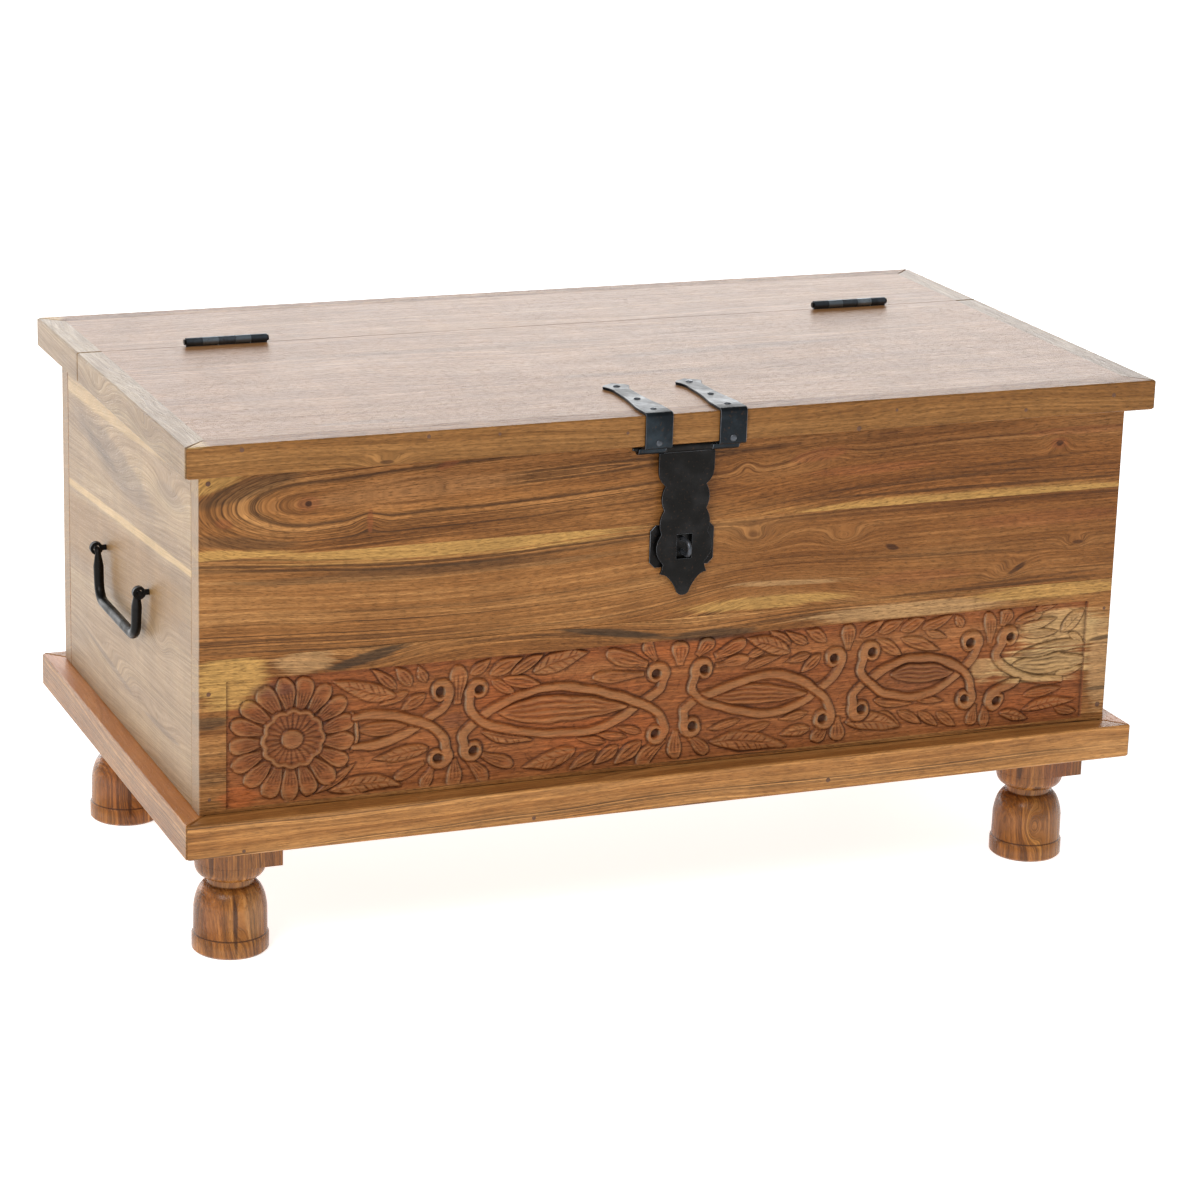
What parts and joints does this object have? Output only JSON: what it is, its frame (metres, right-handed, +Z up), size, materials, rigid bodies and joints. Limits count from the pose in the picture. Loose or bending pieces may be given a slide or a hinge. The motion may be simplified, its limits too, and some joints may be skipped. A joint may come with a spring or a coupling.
{
  "type": "wooden chest",
  "caption": "Wooden storage chest on turned feet with a hinged lid ahead of a fixed rear rail, a hanging hasp and staple, and a bail handle at each end.",
  "frame": {"origin": "on the floor, under the middle of the chest's bounding box", "axes": "+X to the chest's right seen from its front, +Y to its back, +Z up"},
  "size_m": [0.9, 0.5028, 0.4776],
  "materials": {
    "wood": "satin clear lacquer over figured hardwood",
    "iron": "blackened, forged"
  },
  "bodies": {
    "carcass": {"front_board_lower": "wood", "front_board_middle": "wood", "front_board_upper": "wood", "back_board_lower": "wood", "back_board_middle": "wood", "back_board_upper": "wood", "left_board_lower": "wood", "left_board_middle": "wood", "left_board_upper": "wood", "right_board_lower": "wood", "right_board_middle": "wood", "right_board_upper": "wood", "floor_board_1": "wood", "floor_board_2": "wood", "floor_board_3": "wood", "plinth_front": "wood", "plinth_back": "wood", "plinth_left": "wood", "plinth_right": "wood", "corner_block_front_left": "wood", "corner_block_front_right": "wood", "corner_block_back_left": "wood", "corner_block_back_right": "wood", "foot_front_left": "wood", "foot_front_right": "wood", "foot_back_left": "wood", "foot_back_right": "wood", "rail_board": "wood", "rail_back_strip": "wood", "rail_left_strip": "wood", "rail_right_strip": "wood", "hinge_rail_leaf_left": "iron", "hinge_rail_leaf_right": "iron", "hinge_pin_left": "iron", "hinge_pin_right": "iron", "back_plate": "iron", "staple": "iron", "bail_eye_left_front": "iron", "bail_eye_left_back": "iron", "bail_eye_right_front": "iron", "bail_eye_right_back": "iron"},
    "lid": {"lid_board_1": "wood", "lid_board_2": "wood", "lid_board_3": "wood", "lid_front_strip": "wood", "lid_left_strip": "wood", "lid_right_strip": "wood", "hinge_lid_leaf_left": "iron", "hinge_lid_leaf_right": "iron", "strap_left": "iron", "strap_right": "iron", "hasp_rod": "iron"},
    "hasp": {"hasp": "iron"},
    "left_bail": {"bail_left": "iron"},
    "right_bail": {"bail_right": "iron"}
  },
  "joints": [
    {"name": "lid_hinge", "type": "hinge", "parent": "carcass", "child": "lid", "pos_m": [0, 0.1014, 0.4739], "axis": [-1, 0, 0], "range_deg": [0, 175]},
    {"name": "hasp_swing", "type": "hinge", "parent": "lid", "child": "hasp", "pos_m": [0, -0.2323, 0.4372], "axis": [-1, 0, 0], "range_deg": [0, 90]},
    {"name": "left_bail_swing", "type": "hinge", "parent": "carcass", "child": "left_bail", "pos_m": [-0.4415, 0.0014, 0.2961], "axis": [0, 1, 0], "range_deg": [0, 175]},
    {"name": "right_bail_swing", "type": "hinge", "parent": "carcass", "child": "right_bail", "pos_m": [0.4415, 0.0014, 0.2961], "axis": [0, -1, 0], "range_deg": [0, 175]}
  ]
}
